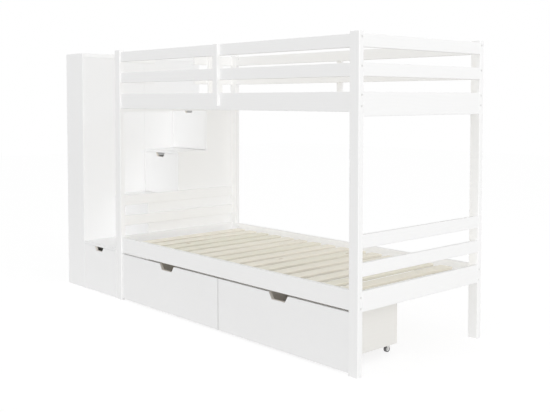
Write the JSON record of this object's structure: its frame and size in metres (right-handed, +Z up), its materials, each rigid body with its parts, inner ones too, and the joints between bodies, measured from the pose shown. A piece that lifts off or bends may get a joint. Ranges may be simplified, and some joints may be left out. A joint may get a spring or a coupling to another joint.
{
  "type": "bunk bed with storage stairs",
  "caption": "White wooden bunk bed with slatted bases, rolling under-bed drawers, a staircase of drawers at the head end and a tall bookcase on the far side of it.",
  "frame": {"origin": "on the floor at the middle of the whole object's length and depth", "axes": "+X along the length towards the foot end, +Y towards the back long side, +Z up; the drawers open towards -Y and the stairs and bookcase are at -X"},
  "size_m": [2.71, 0.998, 1.59],
  "materials": {
    "white_paint": "satin white painted wood",
    "white_board": "satin white painted board",
    "drawer_board": "pale grey-beige laminate board",
    "bare_wood": "unfinished pale softwood",
    "webbing": "woven webbing",
    "plated_steel": "zinc plated",
    "caster_steel": "pale grey pressed steel",
    "black_plastic": "hard black plastic"
  },
  "bodies": {
    "bed_and_stairs": {"post_front_head": "white_paint", "post_front_foot": "white_paint", "post_back_head": "white_paint", "post_back_foot": "white_paint", "upper_head_rail": "white_paint", "lower_head_rail": "white_paint", "upper_foot_rail": "white_paint", "lower_foot_rail": "white_paint", "upper_front_rail": "white_paint", "lower_front_rail": "white_paint", "upper_back_rail": "white_paint", "lower_back_rail": "white_paint", "lower_head_boards": "white_paint", "lower_foot_boards": "white_paint", "front_guard_boards": "white_paint", "back_guard_boards": "white_paint", "foot_guard_boards": "white_paint", "head_guard_boards": "white_paint", "side_guard_stiles": "white_paint", "head_guard_stile": "white_paint", "slat_cleats": "white_paint", "lower_slats": "bare_wood", "upper_slats": "bare_wood", "slat_straps": "webbing", "bed_bolts": "plated_steel", "barrel_nuts": "plated_steel", "wood_screws": "plated_steel", "frame_dowels": "bare_wood", "stair_treads": "white_board", "stair_bottom_board": "white_board", "stair_stringer": "white_board", "stair_back_panel": "white_board", "stair_runners": "bare_wood", "bookcase_uprights": "white_board", "bookcase_wall_panels": "white_board", "bookcase_top": "white_board", "bookcase_face_stiles": "white_board", "bookcase_base_boards": "white_board", "bookcase_shelves": "white_board", "shelf_pins": "plated_steel"},
    "left_bed_drawer": {"left_drawer_front": "white_board", "left_drawer_box": "drawer_board", "left_drawer_bottom": "drawer_board", "left_drawer_casters": "caster_steel"},
    "left_front_wheel_pair": {"left_drawer_front_wheels": "black_plastic"},
    "left_rear_wheel_pair": {"left_drawer_rear_wheels": "black_plastic"},
    "right_bed_drawer": {"right_drawer_front": "white_board", "right_drawer_box": "drawer_board", "right_drawer_bottom": "drawer_board", "right_drawer_casters": "caster_steel"},
    "right_front_wheel_pair": {"right_drawer_front_wheels": "black_plastic"},
    "right_rear_wheel_pair": {"right_drawer_rear_wheels": "black_plastic"},
    "stair_drawer_1": {"stair_drawer_1_front": "white_board", "stair_drawer_1_box": "drawer_board"},
    "stair_drawer_2": {"stair_drawer_2_front": "white_board", "stair_drawer_2_box": "drawer_board"},
    "stair_drawer_3": {"stair_drawer_3_front": "white_board", "stair_drawer_3_box": "drawer_board"},
    "stair_drawer_4": {"stair_drawer_4_front": "white_board", "stair_drawer_4_box": "drawer_board"}
  },
  "joints": [
    {"name": "left_bed_drawer_slide", "type": "slide", "parent": "bed_and_stairs", "child": "left_bed_drawer", "axis": [0, -1, 0], "range_m": [0, 0.4]},
    {"name": "left_front_wheels_roll", "type": "hinge", "parent": "left_bed_drawer", "child": "left_front_wheel_pair", "pos_m": [-0.176, -0.418, 0.0175], "axis": [1, 0, 0], "continuous": true},
    {"name": "left_rear_wheels_roll", "type": "hinge", "parent": "left_bed_drawer", "child": "left_rear_wheel_pair", "pos_m": [-0.176, -0.074, 0.0175], "axis": [1, 0, 0], "continuous": true},
    {"name": "right_bed_drawer_slide", "type": "slide", "parent": "bed_and_stairs", "child": "right_bed_drawer", "axis": [0, -1, 0], "range_m": [0, 0.4]},
    {"name": "right_front_wheels_roll", "type": "hinge", "parent": "right_bed_drawer", "child": "right_front_wheel_pair", "pos_m": [0.806, -0.418, 0.0175], "axis": [1, 0, 0], "continuous": true},
    {"name": "right_rear_wheels_roll", "type": "hinge", "parent": "right_bed_drawer", "child": "right_rear_wheel_pair", "pos_m": [0.806, -0.074, 0.0175], "axis": [1, 0, 0], "continuous": true},
    {"name": "stair_drawer_1_slide", "type": "slide", "parent": "bed_and_stairs", "child": "stair_drawer_1", "axis": [0, -1, 0], "range_m": [0, 0.6]},
    {"name": "stair_drawer_2_slide", "type": "slide", "parent": "bed_and_stairs", "child": "stair_drawer_2", "axis": [0, -1, 0], "range_m": [0, 0.5]},
    {"name": "stair_drawer_3_slide", "type": "slide", "parent": "bed_and_stairs", "child": "stair_drawer_3", "axis": [0, -1, 0], "range_m": [0, 0.35]},
    {"name": "stair_drawer_4_slide", "type": "slide", "parent": "bed_and_stairs", "child": "stair_drawer_4", "axis": [0, -1, 0], "range_m": [0, 0.15]}
  ],
  "couplings": [
    {"joint": "left_front_wheels_roll", "follows": "left_bed_drawer_slide", "rad_per_m": 58.824},
    {"joint": "left_rear_wheels_roll", "follows": "left_bed_drawer_slide", "rad_per_m": 58.824},
    {"joint": "right_front_wheels_roll", "follows": "right_bed_drawer_slide", "rad_per_m": 58.824},
    {"joint": "right_rear_wheels_roll", "follows": "right_bed_drawer_slide", "rad_per_m": 58.824}
  ]
}
